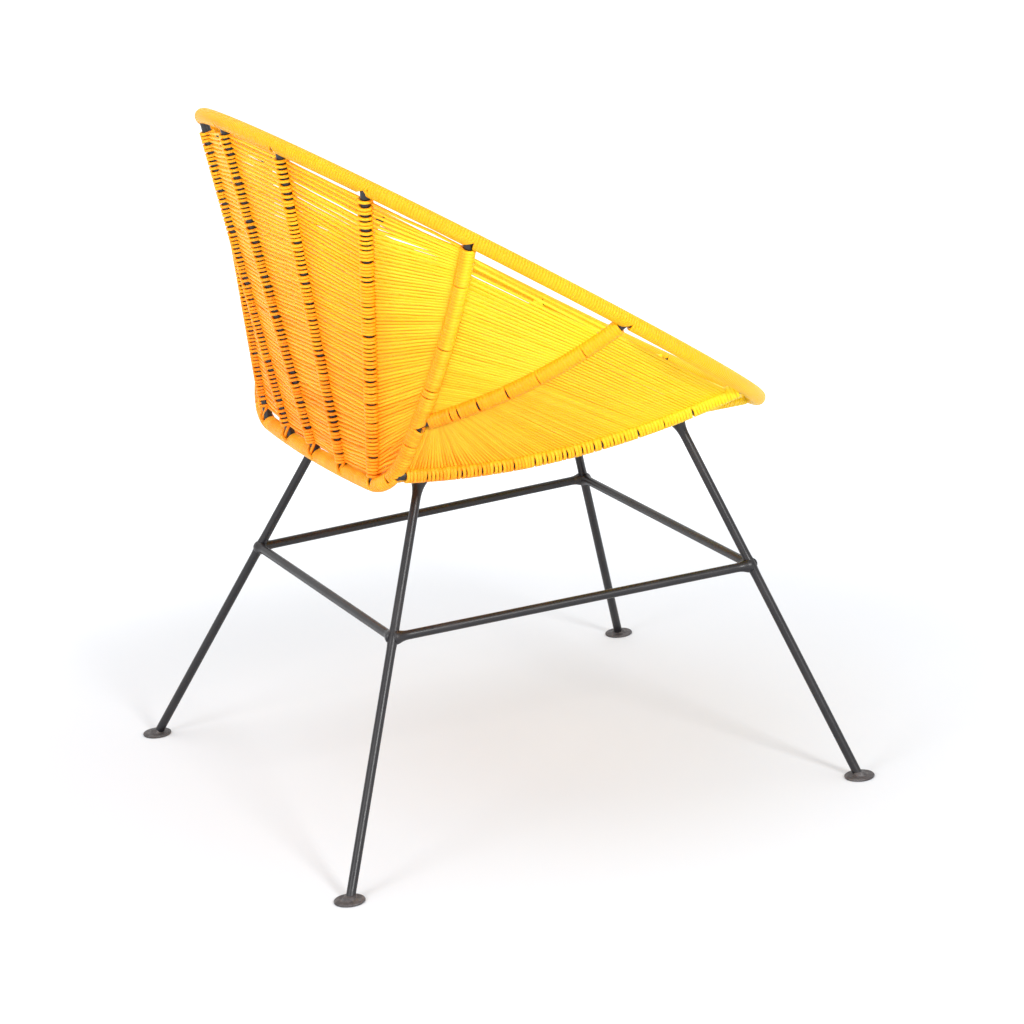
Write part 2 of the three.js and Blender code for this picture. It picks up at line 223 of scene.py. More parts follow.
BEND_X = CORNER_X - CORNER_BEND
BEND_SHARE = 1 - CORNER_BEND / posts["left"].length
BEND_STEPS = 120


def hoop_route():
    """Down the left post, round a bend, along the rear rail, and up the right post."""
    left, right = posts["left"], posts["right"]
    bends = [rail_point(sign * BEND_X) for sign in (1, -1)]
    corners = [route.at(route.length) for route in (left, right)]
    ends = [route.at(BEND_SHARE * route.length) for route in (left, right)]
    rail_middle = 2 * rail_point(0) - bends[0]
    rail_middle[0] = 0
    runs = [left.share(0, BEND_SHARE).points, bent(ends[0], corners[0], bends[0], BEND_STEPS),
            bent(bends[0], rail_middle, bends[1]), bent(bends[1], corners[1], ends[1], BEND_STEPS),
            right.share(BEND_SHARE, 0).points]
    return Route(np.concatenate([runs[0]] + [run[1:] for run in runs[1:]]))


hoop = hoop_route()

# Meshes

CORD_SIDES = 6
TURN_STEPS = 18
# How square a cord's section is, as the power of the sine and cosine that draw it
ROUND, PRESSED, FLATTENED = 1.0, 0.85, 0.45


def tube_points(paths, across, radii, sides, closed, section, broad):
    """Points on tubes about paths, and how far each lies on a flank. across points to the flank."""
    if closed:
        ahead = np.roll(paths, -1, 1) - np.roll(paths, 1, 1)
    else:
        ahead = np.empty_like(paths)
        ahead[:, 1:-1] = paths[:, 2:] - paths[:, :-2]
        ahead[:, 0] = paths[:, 1] - paths[:, 0]
        ahead[:, -1] = paths[:, -1] - paths[:, -2]
    ahead = unit(ahead)
    up = unit(np.cross(across, ahead))
    flank = np.cross(ahead, up)
    angle = 2 * np.pi * np.arange(sides) / sides
    wide, high = (np.sign(part) * np.abs(part) ** section for part in (np.cos(angle), np.sin(angle)))
    spoke = broad[..., None, None] * wide[:, None] * flank[..., None, :]
    spoke = spoke + high[:, None] * up[..., None, :]
    points = paths[..., None, :] + radii[..., None, None] * spoke
    depth = np.broadcast_to(np.abs(np.cos(angle)), points.shape[:-1])
    return points, depth


class Stock:
    """Tubes gathered for one piece, and made into its mesh."""

    def __init__(self):
        self.points, self.values = [], []
        self.corners, self.sizes = [], []
        self.count = 0

    def add(self, paths, across, radii, sides=CORD_SIDES, closed=False, section=ROUND, tone=0.5,
            shade=(0.0, 1.0), broad=1.0):
        """Tubes about paths. tone is how pale they are, and shade the painted shade: how orange and what
        flanks add to it.
        """
        paths = np.asarray(paths, float)
        across = np.broadcast_to(across, paths.shape)
        radii = np.broadcast_to(radii, paths.shape[:-1])
        broad = np.broadcast_to(broad, paths.shape[:-1])
        points, depth = tube_points(paths, across, radii, sides, closed, section, broad)
        tubes, steps = paths.shape[:2]
        # Painted shade at each point: the least, and more towards the flanks
        depth = shade[0] + shade[1] * depth
        tone = np.broadcast_to(np.atleast_2d(tone)[..., None], depth.shape)
        self.points.append(points.reshape(-1, 3))
        self.values.append(np.stack([depth.reshape(-1), tone.reshape(-1)]))
        number = self.count + np.arange(tubes * steps * sides).reshape(tubes, steps, sides)
        here = number if closed else number[:, :-1]
        there = np.roll(number, -1, 1) if closed else number[:, 1:]
        quads = np.stack([here, np.roll(here, -1, 2), np.roll(there, -1, 2), there], -1).reshape(-1, 4)
        self.corners.append(quads.reshape(-1))
        self.sizes.append(np.full(len(quads), 4))
        if not closed:
            for cap in (number[:, 0, ::-1], number[:, -1]):
                self.corners.append(cap.reshape(-1))
                self.sizes.append(np.full(tubes, sides))
        self.count += points.size // 3

    def piece(self, name, node, slot, material):
        """The gathered tubes as one mesh in place of the solid of a node."""
        mesh = bpy.data.meshes.new(name)
        points = np.concatenate(self.points)
        corners, sizes = np.concatenate(self.corners), np.concatenate(self.sizes)
        mesh.vertices.add(len(points))
        mesh.vertices.foreach_set("co", points.astype(np.float32).reshape(-1))
        mesh.loops.add(len(corners))
        mesh.loops.foreach_set("vertex_index", corners.astype(np.int32))
        mesh.polygons.add(len(sizes))
        starts = np.concatenate([[0], np.cumsum(sizes)[:-1]])
        mesh.polygons.foreach_set("loop_start", starts.astype(np.int32))
        mesh.polygons.foreach_set("use_smooth", np.ones(len(sizes), bool))
        depth, tone = np.concatenate(self.values, 1)
        for label, values in (("depth", depth), ("tone", tone)):
            layer = mesh.attributes.new(label, "FLOAT", "POINT")
            layer.data.foreach_set("value", values.astype(np.float32))
        mesh.update(calc_edges=True)
        mesh.validate()
        mesh.materials.append(material)
        made = bpy.data.objects.new(name, mesh)
        bpy.context.scene.collection.objects.link(made)
        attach(made, "root")
        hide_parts(node)


# Materials

def socket(items, name):
    return next(item for item in items if item.name == name)


def group_of(name, inputs, outputs):
    group = bpy.data.node_groups.new(name, "ShaderNodeTree")
    for label, kind, value in inputs:
        made = group.interface.new_socket(label, in_out="INPUT", socket_type=kind)
        made.default_value = value
    for label, kind in outputs:
        group.interface.new_socket(label, in_out="OUTPUT", socket_type=kind)
    return group, group.nodes.new("NodeGroupInput"), group.nodes.new("NodeGroupOutput")


def node(tree, kind, values=(), **settings):
    made = tree.nodes.new(kind)
    for label, value in settings.items():
        setattr(made, label, value)
    for key, value in values:
        target = made.inputs[key] if isinstance(key, int) else socket(made.inputs, key)
        if isinstance(value, bpy.types.NodeSocket):
            tree.links.new(value, target)
        else:
            target.default_value = value
    return made


def speckle_group():
    """Cloudy and fine marks over a surface, as a mask of each."""
    group, given, put = group_of(
        "surface_marks",
        [("Cloud Scale", "NodeSocketFloat", 30.0), ("Grain Scale", "NodeSocketFloat", 900.0),
         ("Cloud Cut", "NodeSocketFloat", 0.5)],
        [("Cloud", "NodeSocketFloat"), ("Grain", "NodeSocketFloat")])
    place = node(group, "ShaderNodeTexCoord").outputs["Object"]
    cloud = node(group, "ShaderNodeTexNoise", [
        ("Vector", place), ("Scale", given.outputs["Cloud Scale"]), ("Detail", 3.0),
        ("Roughness", 0.55)])
    grain = node(group, "ShaderNodeTexNoise", [
        ("Vector", place), ("Scale", given.outputs["Grain Scale"]), ("Detail", 2.0)])
    cut = node(group, "ShaderNodeMapRange", [
        ("Value", cloud.outputs["Fac"]), ("From Min", given.outputs["Cloud Cut"]), ("From Max", 0.75)])
    group.links.new(cut.outputs["Result"], put.inputs["Cloud"])
    group.links.new(grain.outputs["Fac"], put.inputs["Grain"])
    return group


MARKS = speckle_group()


def marks(tree, cloud_scale, grain_scale, cloud_cut):
    made = node(tree, "ShaderNodeGroup", node_tree=MARKS)
    made.inputs["Cloud Scale"].default_value = cloud_scale
    made.inputs["Grain Scale"].default_value = grain_scale
    made.inputs["Cloud Cut"].default_value = cloud_cut
    return made.outputs


def new_material(name):
    made = bpy.data.materials.new(name)
    made.use_nodes = True
    shader = made.node_tree.nodes["Principled BSDF"]
    return made, made.node_tree, shader


def mixed(tree, share, first, second):
    """One colour over another. The Mix node's colour sockets share a name, so numbers pick them."""
    made = node(tree, "ShaderNodeMix", data_type="RGBA")
    for index, value in ((0, share), (6, first), (7, second)):
        if isinstance(value, bpy.types.NodeSocket):
            tree.links.new(value, made.inputs[index])
        else:
            made.inputs[index].default_value = value
    return made.outputs[2]


def ranged(tree, value, low, high, to_low, to_high):
    return node(tree, "ShaderNodeMapRange", [
        ("Value", value), ("From Min", low), ("From Max", high), ("To Min", to_low), ("To Max", to_high),
    ]).outputs["Result"]


def bumped(tree, height, strength, distance):
    return node(tree, "ShaderNodeBump", [
        ("Height", height), ("Strength", strength), ("Distance", distance)]).outputs["Normal"]


# The cord: in painted shade, without it, as its palest turns are, and the orange of the painted shade
# between turns and of the random clouds
CORD_SHADED = (1.0, 0.245, 0.004, 1)
CORD_YELLOW = (1.0, 0.80, 0.012, 1)
CORD_PALE = (1.0, 0.78, 0.050, 1)
CORD_ORANGE = (0.98, 0.25, 0.004, 1)
# Where painted shade starts on a cord's flank, and how much orange that painted shade and the random
# clouds add
FLANK_START, FLANK_ORANGE, CLOUD_ORANGE = 0.35, 0.60, 0.15
MOST_PALE = 0.42
# Painted shade, deepest low on the back: the height at which it starts to give way, what going forward
# and facing back add to that height, and how far above that it is gone
SHADE_HEIGHT = 0.48
SHADE_BACK = 0.17 + SHIFT_Y
SHADE_FORWARD = 1.1
SHADE_REACH = 0.435
SHADE_FACING = 0.055


def unshaded_share(tree):
    """How far the painted shade gives way: least low on the back, most at the top and the front."""
    given = node(tree, "ShaderNodeTexCoord").outputs
    axes = node(tree, "ShaderNodeSeparateXYZ", [(0, given["Object"])]).outputs
    faces = node(tree, "ShaderNodeSeparateXYZ", [(0, given["Normal"])]).outputs
    forward = node(tree, "ShaderNodeMath", [(0, SHADE_BACK), (1, axes["Y"])], operation="SUBTRACT")
    upward = node(tree, "ShaderNodeMath", [
        (0, forward.outputs[0]), (1, SHADE_FORWARD), (2, axes["Z"])], operation="MULTIPLY_ADD")
    total = node(tree, "ShaderNodeMath", [
        (0, faces["Y"]), (1, SHADE_FACING), (2, upward.outputs[0])], operation="MULTIPLY_ADD")
    return ranged(tree, total.outputs[0], SHADE_HEIGHT, SHADE_HEIGHT + SHADE_REACH, 0.0, 1.0)


def cord_material():
    """Glossy plastic cord, a little uneven from cord to cord, with painted shade: orange on flanks where
    cords meet, deeper low on the back.
    """
    made, tree, shader = new_material("yellow_cord_plastic")
    depth = node(tree, "ShaderNodeAttribute", attribute_name="depth").outputs["Fac"]
    tone = node(tree, "ShaderNodeAttribute", attribute_name="tone").outputs["Fac"]
    # Painted shade on the flanks, in the creases between neighbouring cords
    flanks = ranged(tree, depth, FLANK_START, 1.0, 0.0, FLANK_ORANGE)
    found = marks(tree, cloud_scale=14.0, grain_scale=700.0, cloud_cut=0.45)
    # Painted shade by place and facing: deep orange low on the back, yellow higher up and further
    # forward
    shaded_by_place = mixed(tree, unshaded_share(tree), CORD_SHADED, CORD_YELLOW)
    lit = mixed(tree, ranged(tree, tone, 0.0, 1.0, 0.0, MOST_PALE), shaded_by_place, CORD_PALE)
    clouds = ranged(tree, found["Cloud"], 0.0, 1.0, 0.0, CLOUD_ORANGE)
    cloudy = mixed(tree, clouds, lit, CORD_ORANGE)
    colour = mixed(tree, flanks, cloudy, CORD_ORANGE)
    tree.links.new(colour, shader.inputs["Base Color"])
    tree.links.new(ranged(tree, found["Grain"], 0.3, 0.7, 0.30, 0.44), shader.inputs["Roughness"])
    tree.links.new(bumped(tree, found["Grain"], 0.12, 0.0002), shader.inputs["Normal"])
    shader.inputs["IOR"].default_value = 1.5
    shader.inputs["Specular IOR Level"].default_value = 0.18
    shader.inputs["Subsurface Weight"].default_value = 0.35
    shader.inputs["Subsurface Radius"].default_value = (1.0, 0.5, 0.08)
    shader.inputs["Subsurface Scale"].default_value = 0.003
    return made


# The frame's paint, clean and dusty, and the steel under it
PAINT_BLACK = (0.008, 0.007, 0.009, 1)
PAINT_DUSTY = (0.022, 0.019, 0.021, 1)
BARE_STEEL = (0.50, 0.48, 0.46, 1)
MOST_DUSTY = 0.7
# The scuff's place on the left rear leg, as a share of its way up, its size and its ragged edge
SCUFF_SHARE = 0.28
SCUFF_SIZE = 0.0065
SCUFF_RAGGED = 0.006
SCUFF_EDGE = 0.001


def paint_material(scuff):
    """Satin black paint with an orange-peel surface, faint dust, and one scuff down to the steel."""
    made, tree, shader = new_material("black_frame_paint")
    found = marks(tree, cloud_scale=22.0, grain_scale=520.0, cloud_cut=0.5)
    dust = ranged(tree, found["Cloud"], 0.0, 1.0, 0.0, MOST_DUSTY)
    dusty = mixed(tree, dust, PAINT_BLACK, PAINT_DUSTY)
    place = node(tree, "ShaderNodeTexCoord").outputs["Object"]
    away = node(tree, "ShaderNodeVectorMath", [(0, place), (1, tuple(scuff))], operation="DISTANCE")
    ragged = node(tree, "ShaderNodeMath", [
        (0, found["Grain"]), (1, SCUFF_RAGGED), (2, away.outputs["Value"])], operation="MULTIPLY_ADD")
    worn = ranged(tree, ragged.outputs["Value"], SCUFF_SIZE, SCUFF_SIZE - SCUFF_EDGE, 0.0, 1.0)
    tree.links.new(mixed(tree, worn, dusty, BARE_STEEL), shader.inputs["Base Color"])
    tree.links.new(ranged(tree, found["Cloud"], 0.0, 1.0, 0.36, 0.50), shader.inputs["Roughness"])
    tree.links.new(bumped(tree, found["Grain"], 0.15, 0.0003), shader.inputs["Normal"])
    return made


# The glides' worn steel, its dirt, and where it is rubbed
GLIDE_BROWN = (0.085, 0.076, 0.077, 1)
GLIDE_DARK = (0.040, 0.036, 0.038, 1)
GLIDE_GREY = (0.165, 0.157, 0.159, 1)


def glide_material():
    """Dull worn steel: rubbed grey patches and dark dirt on brownish metal."""
    made, tree, shader = new_material("worn_glide_steel")
    found = marks(tree, cloud_scale=120.0, grain_scale=1500.0, cloud_cut=0.42)
    rubbed = mixed(tree, found["Cloud"], GLIDE_BROWN, GLIDE_GREY)
    dirty = mixed(tree, ranged(tree, found["Grain"], 0.52, 0.66, 0.0, 0.8), rubbed, GLIDE_DARK)
    tree.links.new(dirty, shader.inputs["Base Color"])
    tree.links.new(ranged(tree, found["Cloud"], 0.0, 1.0, 0.62, 0.42), shader.inputs["Roughness"])
    tree.links.new(bumped(tree, found["Grain"], 0.4, 0.0003), shader.inputs["Normal"])
    shader.inputs["Metallic"].default_value = 0.6
    return made


cord_plastic = cord_material()
frame_paint = paint_material(legs["rear_left"].at(legs["rear_left"].length * SCUFF_SHARE))
glide_steel = glide_material()

# Steel

ROD_SIDES = 20
ROD_STEP = 0.006
RIM_STEPS = 220
# A direction that no rod lies along
ASKEW = vec(0.31, 0.17, 0.93)


def steel_rod(name, route, radii=None, cut=None, steps=None):
    """One rod of the frame. radii gives its radius at each place, and cut levels its foot and top."""
    steps = steps or int(route.length / ROD_STEP)
    places = np.linspace(0, route.length, steps)
    if radii is not None:
        radii = radii(places)
    else:
        radii = np.full(steps, ROD)
    line = route.at(places)
    across = np.cross(route.along(places), unit(ASKEW))
    stock = Stock()
    stock.add(line[None], unit(across)[None], radii[None], sides=ROD_SIDES)
    if cut is not None:
        foot, top = cut
        points = stock.points[0]
        along = route.along(route.length / 2)
        for level, past in ((top, points[:, 2] > top), (foot, points[:, 2] < foot)):
            points[past] += along * ((level - points[past, 2:3]) / along[2])
    stock.piece(name + "_steel", name, "black_frame", frame_paint)


def rim_steel():
    places = np.arange(RIM_STEPS) / RIM_STEPS * rim.length
    side = rim.outward(places)[1]
    stock = Stock()
    stock.add(rim.at(places)[None], side[None], ROD, sides=ROD_SIDES, closed=True)
    stock.piece("rim_hoop_steel", "rim_hoop", "black_frame", frame_paint)


rim_steel()
steel_rod("back_hoop", hoop)
for number, route in enumerate(ribs):
    steel_rod(f"back_rib_{number + 1}", route)
for side, sign in SIDES:
    steel_rod(f"side_rib_{side}", side_ribs[side])
    steel_rod(f"seat_rail_{side}", seat_rails[side])
    steel_rod(f"seat_bearer_{side}", bearers[side])

# Spread welds at the tops of the legs and the ends of the stretchers, and the weld beads between
LEG_FLARE = 0.012
LEG_FLARE_LENGTH = 0.032
LEG_FLARE_POWER = 2.5
STRETCHER_FLARE = 0.0028
STRETCHER_FLARE_LENGTH = 0.012
BEAD = 0.0007
BEAD_LENGTH = 0.008
LEG_STEPS, STRETCHER_STEPS = 140, 200
# How deep a leg's foot stands in its glide
FOOT_SUNK = 0.0005
stretcher_joints = {}
for corner_name, route in legs.items():
    top = route.at(route.length)
    joint_place = STRETCHER_HEIGHT / top[2] * route.length
    stretcher_joints[corner_name] = route.at(joint_place)

    def leg_radius(places, end=route.length, joint=joint_place):
        flare = LEG_FLARE * np.clip(1 - (end - places) / LEG_FLARE_LENGTH, 0, 1) ** LEG_FLARE_POWER
        return ROD + flare + BEAD * np.exp(-((places - joint) / BEAD_LENGTH) ** 2)

    levels = (GLIDE_THICKNESS - FOOT_SUNK, top[2] - CORD - PLAY)
    steel_rod(f"leg_{corner_name}", route, leg_radius, levels, LEG_STEPS)

STRETCHERS = {"rear": ("rear_left", "rear_right"), "front": ("front_left", "front_right"),
              "left": ("rear_left", "front_left"), "right": ("rear_right", "front_right")}
for name, (start, end) in STRETCHERS.items():
    route = straight(stretcher_joints[start], stretcher_joints[end])

    def stretcher_radius(places, end=route.length):
        near = np.minimum(places, end - places) - ROD
        return ROD + STRETCHER_FLARE * np.clip(1 - near / STRETCHER_FLARE_LENGTH, 0, 1) ** 2

    steel_rod(f"stretcher_{name}", route, stretcher_radius, steps=STRETCHER_STEPS)

# A glide from its underside round the rolled edge and up the weld bead: (radius, height)
GLIDE_PROFILE = [(0.0002, 0.0), (0.0148, 0.0), (0.0157, 0.0002), (0.0163, 0.0007), (0.0165, 0.0014),
                 (0.0163, 0.0022), (0.0157, 0.0028), (0.0148, 0.0030), (0.0110, 0.0029),
                 (0.0086, 0.0030), (0.0075, 0.0036), (0.0066, 0.0047), (0.0058, 0.0062),
                 (0.0050, 0.0066), (0.0002, 0.0066)]
GLIDE_STEPS = 48


def glide(name, foot):
    """A flat disc with a rolled edge, and the weld bead round the leg that stands on it."""
    profile = np.array(GLIDE_PROFILE)
    turn = 2 * np.pi * np.arange(GLIDE_STEPS) / GLIDE_STEPS
    rings = np.stack([np.cos(turn)[None] * profile[:, :1], np.sin(turn)[None] * profile[:, :1],
                      np.broadcast_to(profile[:, 1:], (len(profile), GLIDE_STEPS))], -1)
    stock = Stock()
    stock.points = [(rings + vec(foot[0], foot[1], 0)).reshape(-1, 3)]
    stock.values = [np.zeros((2, rings.size // 3))]
    number = np.arange(rings.size // 3).reshape(len(profile), GLIDE_STEPS)
    here, there = number[:-1], number[1:]
    quads = np.stack([here, np.roll(here, -1, 1), np.roll(there, -1, 1), there], -1).reshape(-1, 4)
    stock.corners = [quads.reshape(-1), number[0, ::-1], number[-1]]
    stock.sizes = [np.full(len(quads), 4), [GLIDE_STEPS], [GLIDE_STEPS]]
    stock.piece(name + "_disc", name, "worn_glide", glide_steel)


for corner_name, route in legs.items():
    glide(f"glide_{corner_name}", route.at(0.0))

# Cord wound on the rods

SEED = 52
chance = np.random.default_rng(SEED)
MM_PER_M = 1000
JOINT_REACH = 0.024
JOINT_WRAP = 0.35
# How far along a rod that joins the direction towards it is taken
JOINT_SIGHT = 0.03


def facing_angle(route, place, direction):
    """How far round a rod from its outer side a direction lies."""
    out, side = route.outward(place)
    return np.arctan2(np.sum(direction * side), np.sum(direction * out))


class Joint:
    """Where another rod joins: the turns there spread to let it out, on the side that it faces.

    They part by room to each side, lean off the joint's middle, and lie closed again at the reach.
    wrap is how far round the rod they part, as minus the cosine.
    """

    def __init__(self, route, place, towards, lean=0.0, room=TURN, reach=JOINT_REACH, wrap=JOINT_WRAP):
        self.place = place
        self.lean = lean
        self.room = room
        self.reach = reach
        self.wrap = wrap
        self.facing = facing_angle(route, place, towards)


def spread(places, turning, joints):
    """Places along a rod, moved out of the way of what joins it."""
    moved = np.array(places, float)
    for joint in joints:
        away = moved - (joint.place + joint.lean)
        tightness = (joint.reach + np.sign(away) * joint.lean - joint.room) / joint.reach
        pushed = joint.place + np.sign(away) * (joint.room + tightness * np.abs(away))
        facing = np.clip((np.cos(turning - joint.facing) + joint.wrap) / (1 + joint.wrap), 0, 1)
        moved = np.where(np.abs(away) < joint.reach, moved + (pushed - moved) * facing, moved)
    return moved


def wound(route, places, turning, joints):
    """Points of cord wound on a rod, and the direction along the rod at each."""
    places = spread(places, turning, joints)
    out, side = route.outward(places)
    spoke = np.cos(turning)[..., None] * out + np.sin(turning)[..., None] * side
    return route.at(places) + TURN * spoke, route.along(places)


# The radius of a cord that is pressed flat against its neighbours
WOUND_CORD = 0.00178
# How each kind of cord looks: its painted shade, as how orange it is at least and what its flanks add,
# how pale it is at least and at most, and how much broader than high it is pressed at least
RIM_LOOK = ((0.78, 0.10), (0.0, 0.4), 1.2)
POST_LOOK = ((0.20, 0.20), (0.4, 0.9), 1.15)
RIB_LOOK = ((0.32, 0.50), (0.2, 0.7), 0.9)
RAIL_LOOK = ((0.20, 0.42), (0.3, 0.9), 1.03)
ROW_LOOK = ((0.0, 0.52), (0.35, 1.0))
# How much of the unevenness between turns shows at the side of the rod, where the rows leave it
SIDE_UNEVEN = 0.25
# How much broader a cord is pressed there
SIDE_BROADER = 0.48
# How sharply the side where turns part is set off from the rest of the rod
PARTED_EDGE = 1.5
# How much painted shade the posts carry on the side that the back rows come from
POST_SIDE_SHADE = 1.3
# How unevenly the turns of one long winding lie, and how far single turns lean
UNEVEN = 0.00006
LEANING, LEANING_LITTLE = 0.00015, 0.00008


def helix(stock, route, start, end, turns, joints, look):
    """One cord wound closely from start to end."""
    steps = turns * TURN_STEPS + 1
    share = np.linspace(0, 1, steps)
    closed = route is rim
    if closed:
        share = share[:-1]
    knots = chance.normal(0, UNEVEN, turns + 1)
    knots[0] = knots[-1] = 0
    drift = np.interp(share * turns, np.arange(turns + 1), knots)
    turning = 2 * np.pi * turns * share
    places = start + (end - start) * share + drift
    line, across = wound(route, places, turning, joints)
    tone = np.interp(share * turns, np.arange(turns + 1), chance.uniform(*look[1], turns + 1))
    stock.add(line[None], across[None], WOUND_CORD, closed=closed, section=FLATTENED, tone=tone,
              shade=look[0], broad=look[2])


def turn_places(start, end, count, gaps_known, kinds):
    """Where the turns of a rod lie. Some gaps are known, and the others are drawn to fill the length."""
    width = 2 * CORD
    pick = chance.random(count - 1)
    gaps = np.zeros(count - 1)
    low = 0.0
    for share, least, most in kinds:
        chosen = (pick >= low) & (pick < low + share)
        gaps[chosen] = chance.uniform(least, most, int(chosen.sum())) / MM_PER_M
        low += share
    fixed = np.zeros(count - 1, bool)
    for index, gap in gaps_known.items():
        gaps[index] = gap / MM_PER_M
        fixed[index] = True
    left = (end - start) - width * (count - 1) - gaps[fixed].sum()
    free = gaps[~fixed]
    if left > 0:
        gaps[~fixed] = free * left / free.sum()
    else:
        gaps[~fixed] = left / len(free)
    return start + np.concatenate([[0.0], np.cumsum(gaps + width)])


# How many turns to each side share out a gap, and how fast their part falls off
EASE_TURNS = 7
EASE_SPREAD = 2.5


def eased(places):
    """Turns with their unevenness shared out over their close neighbours."""
    kernel = np.exp(-0.5 * (np.arange(-EASE_TURNS, EASE_TURNS + 1) / EASE_SPREAD) ** 2)
    gaps = np.convolve(np.pad(np.diff(places), EASE_TURNS, mode="edge"), kernel / kernel.sum(), "valid")
    along = np.concatenate([[0.0], np.cumsum(gaps)])
    return places[0] + along * (places[-1] - places[0]) / along[-1]


def rings(stock, route, places, side_places, joints, look, tilt, parted, shaded_side):
    """One turn of cord round the rod at each place.

    The turns part on the side that faces parted. The last argument, a place and a direction, gives the
    side of the rod that carries painted shade.
    """
    count = len(places)
    turning = np.broadcast_to(2 * np.pi * np.arange(TURN_STEPS) / TURN_STEPS, (count, TURN_STEPS))
    tilts = chance.normal(0, tilt, (count, 1))
    leaning = tilts * np.sin(turning + chance.uniform(0, 2 * np.pi, (count, 1)))
    centre = 0.0 if parted is None else facing_angle(route, route.length / 2, parted)
    facing = np.clip(PARTED_EDGE * np.cos(turning - centre), 0, 1)
    lying = side_places[:, None] + (places - side_places)[:, None] * facing + leaning
    line, across = wound(route, lying, turning, joints)
    broad = look[2] + SIDE_BROADER * (1 - facing)
    least, flanks = look[0]
    # Painted shade on one side of the rod
    if shaded_side is not None:
        angle = facing_angle(route, *shaded_side)
        least = least + (POST_SIDE_SHADE * np.clip(np.cos(turning[0] - angle), 0, 1))[:, None]
    stock.add(line, across, WOUND_CORD, closed=True, section=FLATTENED,
              tone=chance.uniform(*look[1], (count, 1)), shade=(least, flanks), broad=broad)


def winding_piece(stock, rod, which=""):
    stock.piece(f"{rod}_turns{which}", f"{rod}_winding{which}", "yellow_cord", cord_plastic)


def joint_direction(route, other, place):
    """From a rod towards one that joins it, across the rod."""
    along = route.along(place)
    towards = other - route.at(place)
    return unit(towards - dot(towards, along) * along)


RIM_TURNS = 636
# The notches that the rods leave in the rim's winding: their room, how far they reach and lean, and
# how little of the way round those of the rails and bearers go
RIB_NOTCH, RIB_NOTCH_REACH = 0.0088, 0.034
RIB_LEANS = (-0.0067, 0.0035, 0.007, 0.004, 0.0)
POST_LEAN, POST_NOTCH_REACH = 0.007, 0.045
SIDE_RIB_LEAN, SIDE_RIB_NOTCH_REACH = 0.005, 0.040
RAIL_NOTCH, RAIL_NOTCH_WRAP = 0.0045, -0.3


def rim_joint(degrees, route, lean=0.0, room=TURN, reach=JOINT_REACH, wrap=JOINT_WRAP):
    place = np.radians(degrees) * RIM_RADIUS
    towards = joint_direction(rim, route.at(JOINT_SIGHT), place)
    return Joint(rim, place, towards, lean, room, reach, wrap)


def rim_winding():
    joints = []
    for n, route, lean in zip(RIB_ORDER, ribs, RIB_LEANS):
        joints.append(rim_joint(n * RIB_ANGLE, route, lean, RIB_NOTCH, RIB_NOTCH_REACH))
    for side, sign in SIDES:
        joints += [
            rim_joint(sign * POST_ANGLE, posts[side], sign * POST_LEAN, reach=POST_NOTCH_REACH),
            rim_joint(sign * SIDE_RIB_ANGLE, side_ribs[side], sign * SIDE_RIB_LEAN,
                      reach=SIDE_RIB_NOTCH_REACH),
            rim_joint(sign * SEAT_RAIL_ANGLE, seat_rails[side], room=RAIL_NOTCH, wrap=RAIL_NOTCH_WRAP),
            rim_joint(sign * BEARER_ANGLE, bearers[side], room=RAIL_NOTCH, wrap=RAIL_NOTCH_WRAP)]
    stock = Stock()
    half = rim.length / 2
    helix(stock, rim, -half, half, RIM_TURNS, joints, RIM_LOOK)
    winding_piece(stock, "rim")


rim_winding()

ROWS = 70
# Room at the top of a rod for the rim, and at its foot for the rear rail
TOP_ROOM = 0.0122
RAIL_SLACK = 0.0015
RAIL_ROOM = WOUND + CORD + RAIL_SLACK
rod_turns = {}


def wind(name, route, places, joints=(), look=RIB_LOOK, tilt=LEANING, parted=None, shaded_side=None):
    """The turns of a rod. Their places at its sides are kept for the rows that start there."""
    even = eased(places)
    side_places = even + SIDE_UNEVEN * (places - even)
    rod_turns[name] = (route, side_places)
    stock = Stock()
    rings(stock, route, places, side_places, joints, look, tilt, parted, shaded_side)
    return stock


# The uneven gaps between turns: the share of them, and the least and most of each kind, in mm
OPEN = ((0.17, 0.0, 0.3), (0.53, 0.8, 1.9), (0.30, 2.3, 3.8))
HALF_OPEN = ((0.40, 0.0, 0.3), (0.42, 0.8, 1.8), (0.18, 2.4, 3.6))
SPARSE = ((0.42, 0.0, 0.3), (0.38, 0.8, 1.8), (0.20, 2.0, 3.4))
DENSE = ((0.96, 0.0, 0.1), (0.03, 0.6, 1.2), (0.01, 1.6, 2.2))
RIB_GAPS = (HALF_OPEN, OPEN, OPEN, OPEN, OPEN)
# The way that the turns on the back ribs face where they part
PARTED = vec(-0.92, 0.37, 0)
# The gaps of each back rib that are known, at its top and at its foot, in mm
RIB_FIRST_GAPS = (
    (4.2, 0.5, 3.0, 1.8, 0.4, 3.4, 2.0), (2.0, 2.2, 2.0, 2.0, 3.4, 0.3, 3.0, 2.0, 0.3, 3.2),
    (1.8, 2.2, 2.6, 2.8, 0.5, 1.8, 1.8, 2.0, 3.2), (0.5, 0.5, 3.2, 0.3, 2.6, 0.3, 1.5, 2.4, 2.2),
    (0.5, 2.0, 2.0))
RIB_LAST_GAPS = (
    (0.2, 0.2, 0.2, 0.2, 1.0), (0.1, 0.1, 0.1, 2.0, 0.1, 0.1), (0.0, 0.0, 0.0, 0.0), (1.6, 1.6), (4.5,))
